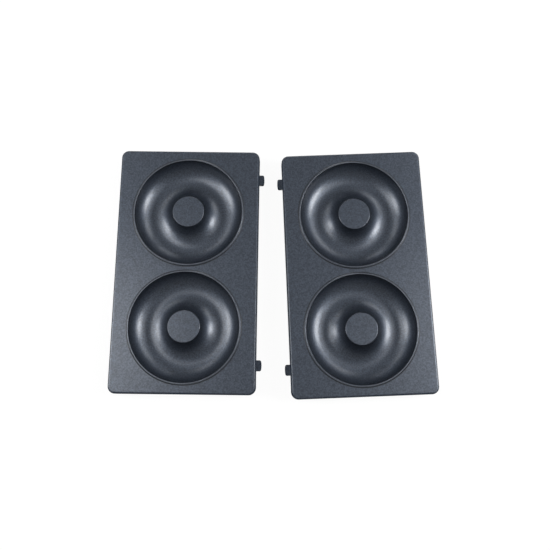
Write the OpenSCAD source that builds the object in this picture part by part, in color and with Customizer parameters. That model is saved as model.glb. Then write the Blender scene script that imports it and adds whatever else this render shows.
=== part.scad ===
// Pair of interchangeable donut plates for an electric snack maker.
// Each plate is one aluminium casting with two ring cavities. The two are the
// same casting, laid face up side by side with their lugs facing each other.
// Millimetres. +Z is up, Z = 0 is the surface that the plates rest on, and the
// origin is midway between the plates.

/* [Plate] */
// Length of a plate, along its two cavities
plate_l = 232; // [228:1:260]
// Width of a plate, without its lugs
plate_w = 134; // [126:1:160]
// Radius of the plate's corners, seen from above
corner_r = 7; // [6.5:0.5:12]
// Thickness of the casting's walls
wall = 3.2; // [2.4:0.1:4]
// Radius of the edge where the face turns down into the skirt
edge_r = 1.9; // [1:0.1:3]

/* [Skirt] */
// Depth of the skirt below the face
skirt_h = 10; // [9:0.5:12]
// Thickness of the skirt at its lower edge
skirt_t = 2.6; // [2:0.1:3.4]
// Leg of the inner fillet between the skirt and the face
skirt_fillet = 1.5; // [0.5:0.1:2.5]
// Draft of the skirt's walls, in degrees
draft = 2; // [1:0.5:4]

/* [Cavities] */
// Distance between the centres of the two ring cavities
cavity_pitch = 109.4; // [108:0.1:114]
// Radius of a cavity's mouth, in the plane of the face
mouth_r = 50.9; // [46:0.1:52]
// Radius of the island in the middle of a cavity, in the plane of the face
island_r = 15.05; // [10:0.05:20]
// Depth of a cavity below the face
cavity_h = 15; // [12:0.5:17]
// Height above the face of the islands, and of the beads round the cavities
bead_h = 1.2; // [0.6:0.1:1.8]
// Width of a bead's level crest
crest_w = 0.8; // [0.6:0.1:2]
// Run of a bead's sloping outer flank
flank_w = 1.1; // [0.8:0.1:2]
// Chamfer round the top of an island
island_chamfer = 0.5; // [0.2:0.1:1]

/* [Underside] */
// Depth of the flat cut across the bottom of each ring, where it meets the heater
land_cut = 0.6; // [0.3:0.1:1]
// Thickness of the cross ribs
rib_t = 3; // [2:0.1:4]
// Height by which the ribs stop short of the skirt's lower edge
rib_short = 1.5; // [0.5:0.1:3]

/* [Lugs] */
// Distance between the centres of the two lugs
lug_pitch = 178.5; // [160:0.5:190]
// Length of a lug along the plate
lug_l = 10; // [6:0.5:16]
// Reach of a lug beyond the skirt
lug_out = 4.7; // [3:0.1:7]
// Thickness of a lug, measured up from the skirt's lower edge
lug_t = 3.5; // [2.5:0.1:6]
// Radius of a lug's outer corners, seen from above
lug_corner_r = 1.6; // [0.8:0.1:2.5]
// Radius of a lug's bowed outer face, seen from above
lug_bow_r = 22; // [15:1:60]

/* [Latch recess] */
// Length of the recess that the machine's latch grips
latch_l = 26; // [16:1:40]
// Height of the recess, measured up from the skirt's lower edge
latch_h = 4; // [2:0.1:6]
// Depth of the recess into the skirt
latch_d = 1.4; // [0.8:0.1:2]
// Thickness of the pad behind the recess
latch_pad = 2; // [1:0.1:4]

/* [Pair] */
// Distance between the centres of the two plates, across them
pair_pitch = 160.3; // [158:0.1:200]
// Distance between the centres of the two plates, along them
pair_stagger = 4.4; // [-20:0.1:20]
// Angle by which each plate is turned, its far end towards the other's
splay = 1.45; // [0:0.05:1.5]

/* [Hidden] */
$fn = 96;

coating = [0.30, 0.32, 0.36];

// A cavity is a ring trough: a circle through the edge of the island, the mouth
// and the bottom, carried round the cavity's centre. Its middle lies above the
// face, so the walls keep their draft all the way up.
ring_r = (mouth_r + island_r) / 2;
half_w = (mouth_r - island_r) / 2;
tube_r = (half_w * half_w + cavity_h * cavity_h) / (2 * cavity_h);
tube_z = tube_r - cavity_h;

// The face's height follows from the ring's outside, cut flat at the bottom.
face_z = cavity_h + wall - land_cut;

// The bead starts where the trough's wall reaches the height of the crest.
crest_r = ring_r + sqrt(pow(tube_r, 2) - pow(tube_z - bead_h, 2));
bead_r = crest_r + crest_w + flank_w;
island_top_r = 2 * ring_r - crest_r;

lean = (skirt_h - edge_r) * tan(draft);
skirt_top_t = skirt_t + (skirt_h - wall) * tan(draft);
rib_h = skirt_h - rib_short;
// Overshoot of cutters, and overlap of the face with its edge
cut = 1;

// Sweeps a profile round a rectangle with rounded corners. The profile's X runs
// outwards from the corners' centres, and its Y is up.
module sweep_round(w, l, r) {
    for (side = [0 : 3]) {
        reach = (side % 2 == 0 ? w : l) / 2 - r;
        run = (side % 2 == 0 ? l : w) - 2 * r;
        rotate(90 * side) translate([reach, 0, 0]) {
            rotate([90, 0, 0]) linear_extrude(run, center = true) children();
            translate([0, run / 2, 0]) rotate_extrude(angle = 90) children();
        }
    }
}

// Rectangle with rounded corners at its outer end, on +X
module tab_outline(x, y, r) {
    translate([-x, -y / 2]) square([2 * x - r, y]);
    translate([-x, r - y / 2]) square([2 * x, y - 2 * r]);
    for (side = [-1, 1]) translate([x - r, side * (y / 2 - r)]) circle(r);
}

// Section through the plate's edge: the face, its rounded edge and the skirt
module edge_profile() {
    inner = corner_r - skirt_top_t;
    difference() {
        polygon([
            [0, 0],
            [corner_r - lean, 0],
            [corner_r - lean, -edge_r],
            [corner_r, -skirt_h],
            [corner_r - skirt_t, -skirt_h],
            [inner + skirt_fillet * tan(draft), -wall - skirt_fillet],
            [inner - skirt_fillet, -wall],
            [0, -wall],
        ]);
        translate([corner_r - lean - edge_r, -edge_r]) difference() {
            square(edge_r + cut);
            circle(edge_r);
        }
    }
}

// Section through one side of a cavity: island, trough and bead
module cavity_profile() {
    difference() {
        union() {
            intersection() {
                translate([ring_r, tube_z]) circle(tube_r + wall);
                translate([0, -face_z])
                    square([ring_r + tube_r + wall, face_z - wall / 2]);
            }
            polygon([
                [0, -wall],
                [ring_r, -wall],
                [ring_r, bead_h - island_chamfer],
                [island_top_r, bead_h - island_chamfer],
                [island_top_r - island_chamfer, bead_h],
                [0, bead_h],
            ]);
            polygon([
                [ring_r, -wall],
                [bead_r, -wall],
                [bead_r, 0],
                [bead_r - flank_w, bead_h],
                [ring_r, bead_h],
            ]);
        }
        translate([ring_r, tube_z]) circle(tube_r);
    }
}

// Places its children at the centre of each cavity, in the plane of the face
module at_cavities() {
    for (end = [-1, 1]) translate([0, end * cavity_pitch / 2, 0]) children();
}

module face_panel() {
    w = plate_w - 2 * corner_r + 2 * cut;
    l = plate_l - 2 * corner_r + 2 * cut;
    translate([0, 0, -wall]) linear_extrude(wall) difference() {
        square([w, l], center = true);
        at_cavities() circle(crest_r + crest_w);
    }
}

// Cross ribs from the rings to the long skirts. The outer ones back the lugs.
module ribs() {
    difference() {
        for (y = [-lug_pitch / 2, 0, lug_pitch / 2])
            translate([0, y, -rib_h / 2 - cut / 2])
                cube([plate_w - skirt_t, rib_t, rib_h - cut], center = true);
        at_cavities() {
            rotate_extrude() translate([ring_r, tube_z]) circle(tube_r + wall / 2);
            translate([0, 0, -face_z]) cylinder(r = ring_r, h = face_z);
        }
    }
}

module lug() {
    translate([plate_w / 2, 0, -skirt_h]) linear_extrude(lug_t) intersection() {
        tab_outline(lug_out, lug_l, lug_corner_r);
        translate([lug_out - lug_bow_r, 0]) circle(lug_bow_r);
        translate([-skirt_t / 2, -lug_l]) square(2 * lug_l);
    }
}

// One casting, with the plane of its face at Z = 0 and its lugs on +X
module casting() {
    difference() {
        union() {
            face_panel();
            sweep_round(plate_w, plate_l, corner_r) edge_profile();
            at_cavities() rotate_extrude() cavity_profile();
            ribs();
            for (end = [-1, 1]) translate([0, end * lug_pitch / 2, 0]) lug();
            translate([skirt_t / 2 - plate_w / 2, -latch_l / 2 - latch_pad, -skirt_h])
                cube([skirt_t / 2 + latch_pad, latch_l + 2 * latch_pad, skirt_h - wall / 2]);
        }
        translate([-plate_w / 2 - cut, -latch_l / 2, -skirt_h - cut])
            cube([latch_d + cut, latch_l, latch_h + cut]);
    }
}

module left_plate() {
    color(coating) translate([-pair_pitch / 2, pair_stagger / 2, face_z])
        rotate(-splay) casting();
}

// The same casting turned half round, so that its lugs face the left plate's
module right_plate() {
    color(coating) translate([pair_pitch / 2, -pair_stagger / 2, face_z])
        rotate(180 + splay) casting();
}

left_plate();
right_plate();
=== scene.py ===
import math

import bpy
from mathutils import Matrix, Vector


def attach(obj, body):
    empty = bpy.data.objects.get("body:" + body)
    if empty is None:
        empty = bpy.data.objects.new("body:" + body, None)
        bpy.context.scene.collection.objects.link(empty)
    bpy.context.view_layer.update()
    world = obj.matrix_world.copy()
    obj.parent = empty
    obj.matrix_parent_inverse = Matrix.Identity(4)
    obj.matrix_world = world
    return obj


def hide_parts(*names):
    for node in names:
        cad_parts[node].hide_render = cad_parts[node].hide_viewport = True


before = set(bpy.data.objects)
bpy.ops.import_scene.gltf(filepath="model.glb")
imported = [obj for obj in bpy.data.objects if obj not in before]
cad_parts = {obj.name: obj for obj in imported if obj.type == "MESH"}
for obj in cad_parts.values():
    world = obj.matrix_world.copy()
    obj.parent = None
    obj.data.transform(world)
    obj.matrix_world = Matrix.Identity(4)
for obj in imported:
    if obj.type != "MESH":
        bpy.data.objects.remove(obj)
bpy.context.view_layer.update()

mm = 0.001
sliver = 0.02    # mm, keeps flat faces that would coincide just apart


def linearColour(hexText):
    # "#rrggbb" in sRGB to linear RGBA
    channels = [int(hexText[i:i + 2], 16) / 255 for i in (1, 3, 5)]
    linear = [c / 12.92 if c <= 0.04045 else ((c + 0.055) / 1.055) ** 2.4 for c in channels]
    return (*linear, 1.0)


def addNode(tree, kind, inputs=None, **settings):
    # an input is a value, a socket to link from, or a list of sockets to join
    node = tree.nodes.new(kind)
    for name, value in settings.items():
        setattr(node, name, value)
    for key, value in (inputs or {}).items():
        for item in value if isinstance(value, list) else [value]:
            if isinstance(item, bpy.types.NodeSocket):
                tree.links.new(item, node.inputs[key])
            else:
                node.inputs[key].default_value = item
    return node


view = {
    "target": (2.8, -5.5, 17.6),    # mm
    "distance": 543.9,
    "azimuth": 0.97,                # degrees round from straight in front
    "elevation": 79.32,
    "roll": 0.21,
    "focalPx": 583.3,
    "framePx": 550.0,
}


def makeCamera():
    azimuth, elevation = math.radians(view["azimuth"]), math.radians(view["elevation"])
    away = Vector((-math.sin(azimuth) * math.cos(elevation),
                   -math.cos(azimuth) * math.cos(elevation),
                   math.sin(elevation)))
    data = bpy.data.cameras.new("camera")
    data.sensor_width = 36.0
    data.lens = data.sensor_width * view["focalPx"] / view["framePx"]
    camera = bpy.data.objects.new("camera", data)
    bpy.context.scene.collection.objects.link(camera)
    place = Matrix.Translation((Vector(view["target"]) + view["distance"] * away) * mm)
    aim = (-away).to_track_quat("-Z", "Y").to_matrix().to_4x4()
    camera.matrix_world = place @ aim @ Matrix.Rotation(math.radians(view["roll"]), 4, "Z")
    bpy.context.scene.camera = camera


makeCamera()
print("camera made")


def roundCorners(points, steps=7):
    # points are (x, z, radius); each corner with a radius becomes an arc
    line = []
    for i, (x, z, radius) in enumerate(points):
        if radius == 0 or i in (0, len(points) - 1):
            line.append((x, z))
            continue
        corner = Vector((x, z))
        before = (Vector(points[i - 1][:2]) - corner).normalized()
        after = (Vector(points[i + 1][:2]) - corner).normalized()
        half = before.angle(after) / 2
        centre = corner + (before + after).normalized() * radius / math.sin(half)
        start = corner + before * radius / math.tan(half) - centre
        end = corner + after * radius / math.tan(half) - centre
        sweep = start.angle(end)
        for s in range(steps + 1):
            share = s / steps
            spoke = (start * math.sin((1 - share) * sweep) + end * math.sin(share * sweep)) / math.sin(sweep)
            line.append(tuple(centre + spoke))
    return line


# One aluminium die casting, used twice. Millimetres; heights are from the plane of the face.
plate = {
    "length": 232.0,
    "width": 134.0,
    "cornerRadius": 7.0,
    "wall": 3.2,
    "edgeRadius": 1.9,
    "skirtDepth": 10.0,
    "skirtThickness": 2.6,
    "lowerEdgeRadius": 0.5,
    "skirtFillet": 1.5,
    "draft": 2.0,          # degrees
    "panelLap": 0.5,       # how far the edge's section runs in over the face
    "cornerSteps": 14,     # facets round a quarter turn of the outline
    "crispAngle": 32.0,    # degrees; an edge that turns further isn't shaded smooth
    "dryTilt": (18.0, 38.0),   # degrees from level where the spray starts to dry and is dry
    "bareFacing": -0.02,   # the upward part of a normal below which the spray doesn't reach
}


def edgeSection():
    # from the face, round the edge, down the skirt and back up inside it; x = 0 is the outline
    slope = math.tan(math.radians(plate["draft"]))
    lean = (plate["skirtDepth"] - plate["edgeRadius"]) * slope
    topThickness = plate["skirtThickness"] + (plate["skirtDepth"] - plate["wall"]) * slope
    return roundCorners([
        (-lean - plate["edgeRadius"] - plate["panelLap"], 0, 0),
        (-lean, 0, plate["edgeRadius"]),
        (0, -plate["skirtDepth"], plate["lowerEdgeRadius"]),
        (-plate["skirtThickness"], -plate["skirtDepth"], plate["lowerEdgeRadius"]),
        (-topThickness, -plate["wall"], plate["skirtFillet"]),
        (-topThickness - plate["skirtFillet"] - plate["panelLap"], -plate["wall"], 0),
    ])


def dryOnEdge(x, z):
    # 0 where the spray lands wet, on the face, and 1 where it is dry, on the skirt
    lean = (plate["skirtDepth"] - plate["edgeRadius"]) * math.tan(math.radians(plate["draft"]))
    radius = plate["edgeRadius"]
    wet, dry = [-lean - radius * (1 - math.sin(math.radians(tilt))) for tilt in plate["dryTilt"]]
    return min(1.0, max(0.0, (x - wet) / (dry - wet)))


cavity = {
    "spacing": 109.4,
    "mouthRadius": 50.9,
    "islandRadius": 15.05,
    "depth": 15.0,
    "beadHeight": 1.2,
    "crestWidth": 0.8,
    "flankWidth": 1.1,
    "crestRadius": 0.3,
    "footRadius": 0.35,
    "islandEdgeRadius": 0.6,
    "flankShare": (0.7, 0.9),  # shares of the bead's height where the flank ends and the crest starts
    "landCut": 0.6,        # taken off the lowest point of the ring, for the heater
    "underFillet": 1.5,
    "panelLap": 0.6,       # how far its upper section runs out over the face
    "underLap": 1.2,       # and its lower one under the face
    "edgeRun": 1.2,        # arc length that the trough's sides leave to the upper roundings
    "underRun": 1.9,       # and the ring's back to the fillets
    "troughSteps": 44,
    "turnSteps": 192,      # facets round a cavity
}

# The trough is a circle through the island's edge, the mouth and the bottom, turned round the cavity.
ringRadius = (cavity["mouthRadius"] + cavity["islandRadius"]) / 2
halfWidth = (cavity["mouthRadius"] - cavity["islandRadius"]) / 2
tubeRadius = (halfWidth ** 2 + cavity["depth"] ** 2) / (2 * cavity["depth"])
tubeHeight = tubeRadius - cavity["depth"]
outerTube = tubeRadius + plate["wall"]
faceHeight = cavity["depth"] + plate["wall"] - cavity["landCut"]


def tubePoints(radius, first, last, steps):
    # points on the tube's circle; angles are from straight down, towards the mouth
    angles = [first + (last - first) * s / steps for s in range(steps + 1)]
    return [(radius * math.sin(a), tubeHeight - radius * math.cos(a), 0) for a in angles]


def troughLine():
    # from the middle of the island, down through the trough, and over the bead to the face
    top = cavity["beadHeight"]
    crest = math.acos((tubeHeight - top) / tubeRadius)
    clear = crest - cavity["edgeRun"] / tubeRadius
    edge = tubeRadius * math.sin(crest)
    foot = edge + cavity["crestWidth"] + cavity["flankWidth"]
    return roundCorners([
        (-ringRadius, top, 0),
        (-edge, top, cavity["islandEdgeRadius"]),
        *tubePoints(tubeRadius, -clear, clear, cavity["troughSteps"]),
        (edge, top, cavity["crestRadius"]),
        (edge + cavity["crestWidth"], top, cavity["crestRadius"]),
        (foot, 0, cavity["footRadius"]),
        (foot + cavity["panelLap"], 0, 0),
    ])


def paintedBeadLightOnCavity(x, z):
    # 1 along the bead's crest, for a painted highlight, and -1 on its flank, for painted shade
    height = z / cavity["beadHeight"]
    if x < halfWidth or height <= 0:
        return 0.0
    flankTop, crestFoot = cavity["flankShare"]
    return float(height > crestFoot) - float(height < flankTop)


def underLine():
    # from the underside of the face, round the outside of the ring, and in under the island
    root = math.acos((tubeHeight + plate["wall"]) / outerTube)
    land = math.acos((tubeHeight + faceHeight) / outerTube)
    clear = root - cavity["underRun"] / outerTube
    steps = cavity["troughSteps"] // 3
    edge = outerTube * math.sin(root)
    return roundCorners([
        (edge + cavity["underLap"], -plate["wall"], 0),
        (edge, -plate["wall"], cavity["underFillet"]),
        *tubePoints(outerTube, clear, land, steps),
        *tubePoints(outerTube, -land, -clear, steps),
        (-edge, -plate["wall"], cavity["underFillet"]),
        (-ringRadius, -plate["wall"], 0),
    ])


lug = {
    "spacing": 178.5,
    "length": 10.0,
    "reach": 4.7,
    "thickness": 3.5,
    "cornerRadius": 1.6,
    "bowRadius": 22.0,
    "edgeRadius": 0.45,
    "edgeSteps": 5,
    "cornerRun": 1.92,     # length that the bow leaves to each rounded corner
    "bowSteps": 12,
    "rim": 1.2,            # width of the band that is swept round its outline
}


def lugSection():
    top, foot = lug["thickness"] - plate["skirtDepth"], sliver - plate["skirtDepth"]
    return roundCorners([(-lug["rim"], top, 0), (0, top, lug["edgeRadius"]),
                         (0, foot, lug["edgeRadius"]), (-lug["rim"], foot, 0)], lug["edgeSteps"])


def lugOutline():
    # the tab seen from above, its inner end buried in the skirt: bowed outer face, rounded corners
    halfLength, bow = lug["length"] / 2, lug["bowRadius"]
    root = -plate["skirtThickness"] / 2
    bowCentre = lug["reach"] - bow
    corners = math.sqrt(bow ** 2 - halfLength ** 2) + bowCentre
    limit = math.asin((halfLength - lug["cornerRun"]) / bow)
    steps = lug["bowSteps"]
    angles = [limit * (2 * s / steps - 1) for s in range(steps + 1)]
    front = [(bowCentre + bow * math.cos(a), bow * math.sin(a), 0) for a in angles]
    return roundCorners([(root, -halfLength, 0), (corners, -halfLength, lug["cornerRadius"]), *front,
                         (corners, halfLength, lug["cornerRadius"]), (root, halfLength, 0)])


rib = {
    "thickness": 3.0,
    "short": 1.5,          # it stops this far above the skirt's lower edge
    "draft": 2.0,          # degrees
    "edgeRadius": 0.6,
    "rootRadius": 1.0,
    "rootRun": 1.1,        # width that each side's root rounding takes
    "rise": 0.03,          # from the face's underside up to the root, so that the two never coincide
    "bury": 0.3,           # how far it runs up into the face
    "inset": 0.45,         # from the mouth's radius in to where it ends in the ring's wall
}


def ribSection():
    # across the rib: flared where it meets the underside, drafted, round along its free edge
    half, root = rib["thickness"] / 2, rib["rise"] - plate["wall"]
    foot = rib["short"] - plate["skirtDepth"]
    lean = (root - foot) * math.tan(math.radians(rib["draft"]))
    flare = half + rib["rootRun"]
    side = [(flare, root + rib["bury"], 0), (flare, root, 0), (half, root, rib["rootRadius"]),
            (half - lean, foot, rib["edgeRadius"])]
    return roundCorners(side + [(-x, z, radius) for x, z, radius in reversed(side)])


def linesObject(name, lines, closed=False, up=-mm, dry=None, worn=None):
    # Lines as a mesh of edges, for the tree. A sweep turns a section's Y downwards, hence the minus.
    # One rule gives each point where the spray arrives dry, the other a painted highlight on the beads'
    # crests and painted shade on their flanks; the coating reads both.
    points, edges = [], []
    for line in lines:
        first = len(points)
        points += line
        edges += [(first + i, first + i + 1) for i in range(len(line) - 1)]
        if closed:
            edges.append((len(points) - 1, first))
    mesh = bpy.data.meshes.new(name)
    mesh.from_pydata([(x * mm, y * up, 0) for x, y in points], edges, [])
    for attribute, rule in (("dry", dry), ("worn", worn)):
        if rule:
            values = [rule(x, y) for x, y in points]
            mesh.attributes.new(attribute, "FLOAT", "POINT").data.foreach_set("value", values)
    return bpy.data.objects.new(name, mesh)


def inMetres(*lengths):
    return tuple(length * mm for length in lengths)


latch = {"length": 26.0, "height": 4.0, "depth": 1.4, "pad": 2.0}

# the ejector pins stand in two rectangles, and one in the middle of each island
pins = {"radius": 3.5, "sink": 0.15, "corners": (106.0, 208.0), "middle": (100.0, 20.0), "facets": 40}


def castingInputs(coating, bareMetal):
    # everything that the tree takes, by name
    top, under, foot = 0.0, -plate["wall"], -plate["skirtDepth"]
    recessTop = foot + latch["height"]
    padTop, padBack = under / 2, plate["skirtThickness"] + latch["pad"]
    padFront = plate["skirtThickness"] / 2
    padFoot = foot + sliver
    return {
        "Coating": coating,
        "Bare Metal": bareMetal,
        "Edge Section": linesObject("edgeSection", [edgeSection()], dry=dryOnEdge),
        "Cavity Sections": linesObject("cavitySections", [troughLine(), underLine()], worn=paintedBeadLightOnCavity),
        "Lug Section": linesObject("lugSection", [lugSection()], dry=lambda x, z: 1.0),
        "Lug Outline": linesObject("lugOutline", [lugOutline()], closed=True, up=mm),
        "Rib Section": linesObject("ribSection", [ribSection()], closed=True),
        "Width": plate["width"] * mm,
        "Length": plate["length"] * mm,
        "Corner Radius": plate["cornerRadius"] * mm,
        "Corner Steps": plate["cornerSteps"],
        "Face Top": top,
        "Face Underside": under * mm,
        "Ring Radius": ringRadius * mm,
        "Turn Steps": cavity["turnSteps"],
        "Cavity Start": inMetres(0, -cavity["spacing"] / 2, 0),
        "Cavity Step": inMetres(0, cavity["spacing"], 0),
        "Lug Top": (foot + lug["thickness"]) * mm,
        "Lug Foot": (foot + sliver) * mm,
        "Lug Start": inMetres(plate["width"] / 2, -lug["spacing"] / 2, 0),
        "Lug Step": inMetres(0, lug["spacing"], 0),
        "Rib Start": inMetres(padFront - plate["width"] / 2, 0, 0),
        "Rib End": inMetres(plate["width"] / 2 - padFront, 0, 0),
        "Rib Step": inMetres(0, lug["spacing"] / 2, 0),
        "Rib Clearance": (cavity["mouthRadius"] - rib["inset"]) * mm,
        "Rib Clearance Height": 4 * cavity["depth"] * mm,
        "Latch Pad Size": inMetres(padBack - padFront, latch["length"] + 2 * latch["pad"], padTop - padFoot),
        "Latch Pad Place": inMetres((padBack + padFront - plate["width"]) / 2, 0, (padTop + padFoot) / 2),
        "Latch Recess Size": inMetres(2 * latch["depth"], latch["length"], 2 * latch["height"]),
        "Latch Recess Place": inMetres(-plate["width"] / 2, 0, recessTop - latch["height"]),
        "Pin Radius": pins["radius"] * mm,
        "Pin Height": 2 * pins["sink"] * mm,
        "Pin Facets": pins["facets"],
        "Pin Corners": inMetres(*pins["corners"], 0),
        "Pin Middle": inMetres(*pins["middle"], 0),
        "Bare Facing": plate["bareFacing"],
    }


socketKinds = {float: "Float", int: "Int", tuple: "Vector", bpy.types.Object: "Object",
               bpy.types.Material: "Material"}
weld = 0.002 * mm


def copiesInLine(tree, piece, count, start, step):
    points = addNode(tree, "GeometryNodeMeshLine", {"Count": count, "Start Location": start, "Offset": step})
    copies = addNode(tree, "GeometryNodeInstanceOnPoints", {"Points": points.outputs[0], "Instance": piece})
    return addNode(tree, "GeometryNodeRealizeInstances", {"Geometry": copies.outputs[0]}).outputs[0]


def closeShell(tree, parts, top, under):
    # flat panels fill what swept parts leave open, at the heights top and under
    shell = addNode(tree, "GeometryNodeJoinGeometry", {0: parts}).outputs[0]
    shell = addNode(tree, "GeometryNodeMergeByDistance", {"Geometry": shell, "Distance": weld}).outputs[0]
    neighbours = addNode(tree, "GeometryNodeInputMeshEdgeNeighbors").outputs[0]
    rim = addNode(tree, "FunctionNodeCompare", {2: neighbours, 3: 1},
                  data_type="INT", operation="EQUAL").outputs[0]
    position = addNode(tree, "GeometryNodeInputPosition").outputs[0]
    height = addNode(tree, "ShaderNodeSeparateXYZ", {0: position}).outputs["Z"]
    middle = addNode(tree, "ShaderNodeMath", {0: top, 1: under}, operation="ADD").outputs[0]
    middle = addNode(tree, "ShaderNodeMath", {0: middle, 1: 0.5}, operation="MULTIPLY").outputs[0]
    panels = []
    for level, side in ((top, "GREATER_THAN"), (under, "LESS_THAN")):
        onSide = addNode(tree, "FunctionNodeCompare", {0: height, 1: middle}, operation=side).outputs[0]
        chosen = addNode(tree, "FunctionNodeBooleanMath", {0: rim, 1: onSide}).outputs[0]
        loops = addNode(tree, "GeometryNodeMeshToCurve", {"Mesh": shell, "Selection": chosen}).outputs[0]
        panel = addNode(tree, "GeometryNodeFillCurve", {"Curve": loops}, mode="NGONS").outputs[0]
        raised = addNode(tree, "ShaderNodeCombineXYZ", {"Z": level}).outputs[0]
        panels.append(addNode(tree, "GeometryNodeTransform",
                              {"Geometry": panel, "Translation": raised}).outputs[0])
    panels[1] = addNode(tree, "GeometryNodeFlipFaces", {"Mesh": panels[1]}).outputs[0]
    closed = addNode(tree, "GeometryNodeJoinGeometry", {0: [shell, *panels]}).outputs[0]
    return addNode(tree, "GeometryNodeMergeByDistance", {"Geometry": closed, "Distance": weld}).outputs[0]


def sweptAlong(tree, path, section, caps=False):
    level = addNode(tree, "GeometryNodeSetCurveNormal", {"Curve": path}, mode="Z_UP").outputs[0]
    return addNode(tree, "GeometryNodeCurveToMesh",
                   {"Curve": level, "Profile Curve": section, "Fill Caps": caps}).outputs[0]


def panelBody(tree, given, curves):
    # the edge is swept round the plate's outline, each cavity is turned round a circle
    outline = addNode(tree, "GeometryNodeCurvePrimitiveQuadrilateral",
                      {"Width": given["Width"], "Height": given["Length"]}).outputs[0]
    outline = addNode(tree, "GeometryNodeFilletCurve",
                      {"Curve": outline, "Count": given["Corner Steps"], "Radius": given["Corner Radius"]},
                      mode="POLY").outputs[0]
    circle = addNode(tree, "GeometryNodeCurvePrimitiveCircle",
                     {"Resolution": given["Turn Steps"], "Radius": given["Ring Radius"]}).outputs[0]
    edge = sweptAlong(tree, outline, curves["Edge Section"])
    ring = sweptAlong(tree, circle, curves["Cavity Sections"])
    rings = copiesInLine(tree, ring, 2, given["Cavity Start"], given["Cavity Step"])
    return closeShell(tree, [edge, rings], given["Face Top"], given["Face Underside"])


def lugPair(tree, given, curves):
    edge = sweptAlong(tree, curves["Lug Outline"], curves["Lug Section"])
    tab = closeShell(tree, [edge], given["Lug Top"], given["Lug Foot"])
    return copiesInLine(tree, tab, 2, given["Lug Start"], given["Lug Step"])


def crossRibs(tree, given, curves):
    # three bars, one to each pair of lugs and one in the middle, cut off inside the rings' walls
    run = addNode(tree, "GeometryNodeCurvePrimitiveLine",
                  {0: given["Rib Start"], 1: given["Rib End"]}).outputs[0]
    bar = sweptAlong(tree, run, curves["Rib Section"], caps=True)
    start = addNode(tree, "ShaderNodeVectorMath", {0: given["Rib Step"], "Scale": -1.0},
                    operation="SCALE").outputs[0]
    bars = copiesInLine(tree, bar, 3, start, given["Rib Step"])
    core = addNode(tree, "GeometryNodeMeshCylinder",
                   {"Vertices": given["Turn Steps"], "Radius": given["Rib Clearance"],
                    "Depth": given["Rib Clearance Height"]}).outputs[0]
    cores = copiesInLine(tree, core, 2, given["Cavity Start"], given["Cavity Step"])
    return addNode(tree, "GeometryNodeMeshBoolean", {"Mesh 1": bars, "Mesh 2": cores},
                   operation="DIFFERENCE", solver="MANIFOLD").outputs[0]


def block(tree, given, name):
    cube = addNode(tree, "GeometryNodeMeshCube", {"Size": given[name + " Size"]}).outputs[0]
    return addNode(tree, "GeometryNodeTransform",
                   {"Geometry": cube, "Translation": given[name + " Place"]}).outputs[0]


def pinMarks(tree, given):
    # the ejector pins leave shallow round marks in the underside
    places = [addNode(tree, "GeometryNodeMeshLine",
                      {"Count": 2, "Start Location": given["Cavity Start"],
                       "Offset": given["Cavity Step"]}).outputs[0]]
    for name in ("Pin Corners", "Pin Middle"):
        width, length = addNode(tree, "ShaderNodeSeparateXYZ", {0: given[name]}).outputs[:2]
        places.append(addNode(tree, "GeometryNodeMeshGrid",
                              {"Size X": width, "Size Y": length,
                               "Vertices X": 2, "Vertices Y": 2}).outputs[0])
    places = addNode(tree, "GeometryNodeJoinGeometry", {0: places}).outputs[0]
    pin = addNode(tree, "GeometryNodeMeshCylinder",
                  {"Vertices": given["Pin Facets"], "Radius": given["Pin Radius"],
                   "Depth": given["Pin Height"]}).outputs[0]
    drop = addNode(tree, "ShaderNodeCombineXYZ", {"Z": given["Face Underside"]}).outputs[0]
    pin = addNode(tree, "GeometryNodeTransform", {"Geometry": pin, "Translation": drop}).outputs[0]
    marks = addNode(tree, "GeometryNodeInstanceOnPoints", {"Points": places, "Instance": pin}).outputs[0]
    return addNode(tree, "GeometryNodeRealizeInstances", {"Geometry": marks}).outputs[0]


def castPlateTree(inputs):
    # the whole casting; returns the tree and its modifier's values by socket identifier
    tree = bpy.data.node_groups.new("castPlate", "GeometryNodeTree")
    tree.interface.new_socket("Plate", in_out="OUTPUT", socket_type="NodeSocketGeometry")
    values = {}
    for name, value in inputs.items():
        kind = "NodeSocket" + socketKinds[type(value)]
        values[tree.interface.new_socket(name, in_out="INPUT", socket_type=kind).identifier] = value
    given = addNode(tree, "NodeGroupInput").outputs
    curves = {}
    for name, value in inputs.items():
        if isinstance(value, bpy.types.Object):
            lines = addNode(tree, "GeometryNodeObjectInfo", {"Object": given[name]}).outputs["Geometry"]
            curves[name] = addNode(tree, "GeometryNodeMeshToCurve", {"Mesh": lines}).outputs[0]

    parts = [panelBody(tree, given, curves), lugPair(tree, given, curves), crossRibs(tree, given, curves),
             block(tree, given, "Latch Pad")]
    cuts = [block(tree, given, "Latch Recess"), pinMarks(tree, given)]
    whole = addNode(tree, "GeometryNodeMeshBoolean", {"Mesh 2": parts},
                    operation="UNION", solver="MANIFOLD").outputs[0]
    whole = addNode(tree, "GeometryNodeMeshBoolean", {"Mesh 1": whole, "Mesh 2": cuts},
                    operation="DIFFERENCE", solver="MANIFOLD").outputs[0]
    whole = addNode(tree, "GeometryNodeRealizeInstances", {"Geometry": whole}).outputs[0]

    # the coating is sprayed from above, so whatever faces down stays bare
    normal = addNode(tree, "GeometryNodeInputNormal").outputs[0]
    facing = addNode(tree, "ShaderNodeSeparateXYZ", {0: normal}).outputs["Z"]
    down = addNode(tree, "FunctionNodeCompare", {0: facing, 1: given["Bare Facing"]},
                   operation="LESS_THAN").outputs[0]
    whole = addNode(tree, "GeometryNodeSetMaterial",
                    {"Geometry": whole, "Material": given["Coating"]}).outputs[0]
    whole = addNode(tree, "GeometryNodeSetMaterial",
                    {"Geometry": whole, "Selection": down, "Material": given["Bare Metal"]}).outputs[0]
    addNode(tree, "NodeGroupOutput", {0: whole})
    return tree, values


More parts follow.
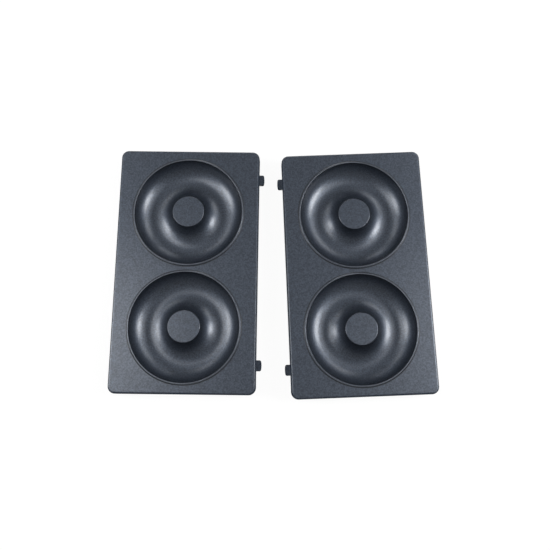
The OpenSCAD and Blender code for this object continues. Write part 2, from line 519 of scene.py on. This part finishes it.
def newMaterial(name):
    material = bpy.data.materials.new(name)
    material.use_nodes = True
    tree = material.node_tree
    return material, tree, tree.nodes["Principled BSDF"]


coatingFinish = {
    "dark": "#282e38",
    "light": "#414955",
    "fleck": 1.3,          # mm; the real flecks are about 0.2 mm, too fine to show, so they are coarser
    "contrast": 0.16,      # half the share of the noise's range between dark and light
    # painted highlight colour for the beads' crests
    "worn": "#8b8f96",
    "crestHighlight": 0.14,          # how much of the painted highlight colour shows along the beads' crests
    # painted shade colour for the beads' flanks
    "flankShade": "#0e1013",
    "flankShadeStrength": 0.8,           # how much of the painted shade colour shows on their flanks
    "peel": 5.0,           # mm from crest to crest of the orange peel
    "peelHeight": 0.05,    # mm
    "peelStrength": 0.3,
    "grainHeight": 0.03,   # mm
    "grainStrength": 0.5,
    "metallic": 0.92,
    "roughness": 0.49,
    "roughnessSpread": 0.05,
    "dryRoughness": 0.45,  # added where the spray arrives dry
    "edgeTint": (0.1, 0.12, 0.15, 1.0),   # keeps the metallic base dark at a flat angle
    "topCoatRoughness": 0.31,
}


def makeCoating():
    # Sprayed and baked non-stick coating over cast aluminium: dark blue-grey with fine metallic
    # flecks under a clear satin top coat. It spreads a lamp into a soft band with a paler middle,
    # and without the top coat it leaves the skirt plain, rough and dark.
    material, tree, surface = newMaterial("nonstickCoating")
    finish = coatingFinish
    low, high = 0.5 - finish["contrast"], 0.5 + finish["contrast"]
    place = addNode(tree, "ShaderNodeTexCoord").outputs["Object"]
    flecks = addNode(tree, "ShaderNodeTexNoise",
                     {"Vector": place, "Scale": 1 / (finish["fleck"] * mm), "Detail": 2.0,
                      "Roughness": 0.6}).outputs["Fac"]
    dry = addNode(tree, "ShaderNodeAttribute", attribute_name="dry").outputs["Fac"]
    shown = addNode(tree, "ShaderNodeMix", {0: dry, 2: flecks, 3: 0.5}).outputs[0]
    colours = addNode(tree, "ShaderNodeValToRGB", {"Fac": shown})
    colours.color_ramp.elements[0].position = low
    colours.color_ramp.elements[0].color = linearColour(finish["dark"])
    colours.color_ramp.elements[1].position = high
    colours.color_ramp.elements[1].color = linearColour(finish["light"])
    gloss = addNode(tree, "ShaderNodeMapRange",
                    {"Value": flecks, "From Min": low, "From Max": high,
                     "To Min": finish["roughness"] + finish["roughnessSpread"],
                     "To Max": finish["roughness"] - finish["roughnessSpread"]})
    peel = addNode(tree, "ShaderNodeTexNoise",
                   {"Vector": place, "Scale": 1 / (finish["peel"] * mm), "Detail": 1.0}).outputs["Fac"]
    wave = addNode(tree, "ShaderNodeBump",
                   {"Height": peel, "Strength": finish["peelStrength"],
                    "Distance": finish["peelHeight"] * mm})
    grain = addNode(tree, "ShaderNodeBump",
                    {"Height": flecks, "Normal": wave.outputs[0], "Strength": finish["grainStrength"],
                     "Distance": finish["grainHeight"] * mm})
    # painted light on the beads: their crests are painted lighter as a highlight, their flanks darker as
    # shade
    worn = addNode(tree, "ShaderNodeAttribute", attribute_name="worn").outputs["Fac"]
    crestHighlightShare = addNode(tree, "ShaderNodeMath", {0: worn, 1: finish["crestHighlight"]}, operation="MULTIPLY").outputs[0]
    flankShade = addNode(tree, "ShaderNodeMath", {0: worn, 1: -finish["flankShadeStrength"]}, operation="MULTIPLY").outputs[0]
    crest = addNode(tree, "ShaderNodeMix",
                    {0: crestHighlightShare, 6: colours.outputs["Color"], 7: linearColour(finish["worn"])},
                    data_type="RGBA").outputs[2]
    colour = addNode(tree, "ShaderNodeMix", {0: flankShade, 6: crest, 7: linearColour(finish["flankShade"])},
                     data_type="RGBA").outputs[2]
    rough = addNode(tree, "ShaderNodeMath", {0: dry, 1: finish["dryRoughness"], 2: gloss.outputs[0]},
                    operation="MULTIPLY_ADD").outputs[0]
    topCoat = addNode(tree, "ShaderNodeMath", {0: 1.0, 1: dry}, operation="SUBTRACT").outputs[0]
    tree.links.new(colour, surface.inputs["Base Color"])
    tree.links.new(rough, surface.inputs["Roughness"])
    tree.links.new(topCoat, surface.inputs["Coat Weight"])
    tree.links.new(grain.outputs[0], surface.inputs["Normal"])
    tree.links.new(grain.outputs[0], surface.inputs["Coat Normal"])
    surface.inputs["Metallic"].default_value = finish["metallic"]
    surface.inputs["Specular Tint"].default_value = finish["edgeTint"]
    surface.inputs["Coat Roughness"].default_value = finish["topCoatRoughness"]
    return material


bareFinish = {
    "dark": "#8e9092",
    "light": "#b4b5b6",
    "contrast": 0.2,       # half the share of the noise's range between dark and light
    "flow": 22.0,          # mm across the flow marks
    "grain": 0.8,          # mm, the die's spark-eroded texture
    "grainHeight": 0.06,   # mm
    "grainStrength": 0.4,
    "smooth": 0.40,        # roughness of the light, well filled parts
    "matt": 0.54,          # and of the dark ones
}


def makeBareMetal():
    # Die-cast aluminium as it leaves the die: matt silver-grey, cloudy where the metal flowed,
    # with the die's fine grain.
    material, tree, surface = newMaterial("dieCastAluminium")
    finish = bareFinish
    low, high = 0.5 - finish["contrast"], 0.5 + finish["contrast"]
    place = addNode(tree, "ShaderNodeTexCoord").outputs["Object"]
    flow = addNode(tree, "ShaderNodeTexNoise",
                   {"Vector": place, "Scale": 1 / (finish["flow"] * mm), "Detail": 4.0,
                    "Distortion": 1.5}).outputs["Fac"]
    grain = addNode(tree, "ShaderNodeTexNoise",
                    {"Vector": place, "Scale": 1 / (finish["grain"] * mm), "Detail": 3.0}).outputs["Fac"]
    colours = addNode(tree, "ShaderNodeValToRGB", {"Fac": flow})
    colours.color_ramp.elements[0].position = low
    colours.color_ramp.elements[0].color = linearColour(finish["dark"])
    colours.color_ramp.elements[1].position = high
    colours.color_ramp.elements[1].color = linearColour(finish["light"])
    gloss = addNode(tree, "ShaderNodeMapRange",
                    {"Value": flow, "From Min": low, "From Max": high,
                     "To Min": finish["matt"], "To Max": finish["smooth"]})
    bump = addNode(tree, "ShaderNodeBump",
                   {"Height": grain, "Strength": finish["grainStrength"],
                    "Distance": finish["grainHeight"] * mm})
    tree.links.new(colours.outputs["Color"], surface.inputs["Base Color"])
    tree.links.new(gloss.outputs[0], surface.inputs["Roughness"])
    tree.links.new(bump.outputs[0], surface.inputs["Normal"])
    surface.inputs["Metallic"].default_value = 1.0
    return material


def castPlate(coating, bareMetal):
    # runs the tree on an empty object and keeps the result as a plain mesh
    inputs = castingInputs(coating, bareMetal)
    tree, values = castPlateTree(inputs)
    host = bpy.data.objects.new("castPlate", bpy.data.meshes.new("castPlate"))
    bpy.context.scene.collection.objects.link(host)
    modifier = host.modifiers.new("castPlate", "NODES")
    modifier.node_group = tree
    for identifier, value in values.items():
        modifier[identifier] = value
    mesh = bpy.data.meshes.new_from_object(host.evaluated_get(bpy.context.evaluated_depsgraph_get()))
    for used in [host] + [value for value in inputs.values() if isinstance(value, bpy.types.Object)]:
        bpy.data.objects.remove(used)
    bare = [mesh.materials[face.material_index] == bareMetal for face in mesh.polygons]
    mesh.materials.clear()
    mesh.materials.append(coating)
    mesh.materials.append(bareMetal)
    mesh.polygons.foreach_set("material_index", bare)
    mesh.shade_smooth()
    mesh.set_sharp_from_angle(angle=math.radians(plate["crispAngle"]))
    return mesh


pair = {
    "pitch": 160.3,        # mm across, between the plates' middles
    "stagger": 4.4,        # mm along
    "splay": 1.45,         # degrees that each plate is turned
}


def placePlate(name, mesh, side):
    # side -1 is the left plate; the right one is the same casting turned half round
    turn = math.radians(-pair["splay"] if side < 0 else 180 + pair["splay"])
    place = Matrix.Translation(inMetres(side * pair["pitch"] / 2, -side * pair["stagger"] / 2, faceHeight))
    mesh = mesh.copy()
    mesh.transform(place @ Matrix.Rotation(turn, 4, "Z"))
    piece = bpy.data.objects.new(name + "_casting", mesh)
    bpy.context.scene.collection.objects.link(piece)
    piece.modifiers.new("evenNormals", "WEIGHTED_NORMAL").keep_sharp = True
    return piece


casting = castPlate(makeCoating(), makeBareMetal())
print("casting made:", len(casting.polygons), "faces")

for name, side in (("left", -1), ("right", 1)):
    piece = placePlate(name, casting, side)
    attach(piece, name + "_plate")
    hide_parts(name + "_plate")
print("plates placed")


def backgroundRays(tree):
    # 1 for what the camera sees directly or in gloss or glass, 0 for the light on the object
    path = addNode(tree, "ShaderNodeLightPath").outputs
    seen = addNode(tree, "ShaderNodeMath", {0: path["Is Camera Ray"], 1: path["Is Transmission Ray"]},
                   operation="MAXIMUM").outputs[0]
    return addNode(tree, "ShaderNodeMath", {0: seen, 1: path["Is Glossy Ray"]},
                   operation="MAXIMUM").outputs[0]


floorFinish = {
    "colour": "#ececec",
    "share": 0.92,         # how much of its white stays where a shadow falls
    "reach": 4.0,          # metres to each side
    "drop": 0.0001,        # metres below the lands, so that they don't lie in it
}


def makeFloor():
    material = bpy.data.materials.new("paleFloor")
    material.use_nodes = True
    tree = material.node_tree
    tree.nodes.clear()
    matt = addNode(tree, "ShaderNodeBsdfDiffuse", {"Color": linearColour(floorFinish["colour"])}).outputs[0]
    white = addNode(tree, "ShaderNodeEmission", {"Color": (1, 1, 1, 1), "Strength": 1.0}).outputs[0]
    share = addNode(tree, "ShaderNodeMath", {0: backgroundRays(tree), 1: floorFinish["share"]},
                    operation="MULTIPLY").outputs[0]
    mixed = addNode(tree, "ShaderNodeMixShader", {0: share, 1: matt, 2: white}).outputs[0]
    addNode(tree, "ShaderNodeOutputMaterial", {"Surface": mixed})
    mesh = bpy.data.meshes.new("floor")
    reach, height = floorFinish["reach"], -floorFinish["drop"]
    mesh.from_pydata([(-reach, -reach, height), (reach, -reach, height),
                      (reach, reach, height), (-reach, reach, height)], [], [(0, 1, 2, 3)])
    mesh.materials.append(material)
    floor = bpy.data.objects.new("floor", mesh)
    bpy.context.scene.collection.objects.link(floor)


room = {
    "horizon": 0.9,        # the pale surround, up to a little above the floor's far edge
    "zenith": 0.35,        # the dimmer room above it
    "fade": (0.0, 0.1),    # heights on the unit sphere between which it dims
}


def makeWorld():
    world = bpy.data.worlds.new("studio")
    world.use_nodes = True
    tree = world.node_tree
    tree.nodes.clear()
    direction = addNode(tree, "ShaderNodeTexCoord").outputs["Generated"]
    height = addNode(tree, "ShaderNodeSeparateXYZ", {0: direction}).outputs["Z"]
    low, high = room["fade"]
    level = addNode(tree, "ShaderNodeMapRange",
                    {"Value": height, "From Min": low, "From Max": high,
                     "To Min": room["horizon"], "To Max": room["zenith"]},
                    interpolation_type="SMOOTHSTEP").outputs[0]
    light = addNode(tree, "ShaderNodeBackground", {"Color": (1, 1, 1, 1), "Strength": level}).outputs[0]
    addNode(tree, "ShaderNodeOutputWorld", {"Surface": light})
    bpy.context.scene.world = world


lampFittings = {
    "distance": 1.0,       # metres
    "size": 0.45,
}

# Round soft lamps that face the middle. Each has its degrees down from straight up, its degrees
# round from +X, and its watts.
lamps = {
    "rightSide": (55, 0, 8.7),
    "rightBack": (55, 45, 1.7),
    "back": (75, 90, 2.6),
    "leftBack": (55, 135, 1.1),
    "leftSide": (55, 180, 5.6),
    "rightTop": (30, 0, 1.1),
    "leftTop": (30, 180, 2.25),
}


def makeLamps():
    for name, (down, around, watts) in lamps.items():
        polar, azimuth = math.radians(down), math.radians(around)
        data = bpy.data.lights.new(name, "AREA")
        data.shape = "DISK"
        data.size = lampFittings["size"]
        data.energy = watts
        lamp = bpy.data.objects.new(name, data)
        away = Vector((math.sin(polar) * math.cos(azimuth),
                       math.sin(polar) * math.sin(azimuth),
                       math.cos(polar)))
        lamp.matrix_world = (Matrix.Translation(away * lampFittings["distance"])
                             @ away.to_track_quat("Z", "Y").to_matrix().to_4x4())
        bpy.context.scene.collection.objects.link(lamp)


makeFloor()
makeWorld()
makeLamps()
bpy.context.scene.view_settings.view_transform = "Standard"
print("studio made")
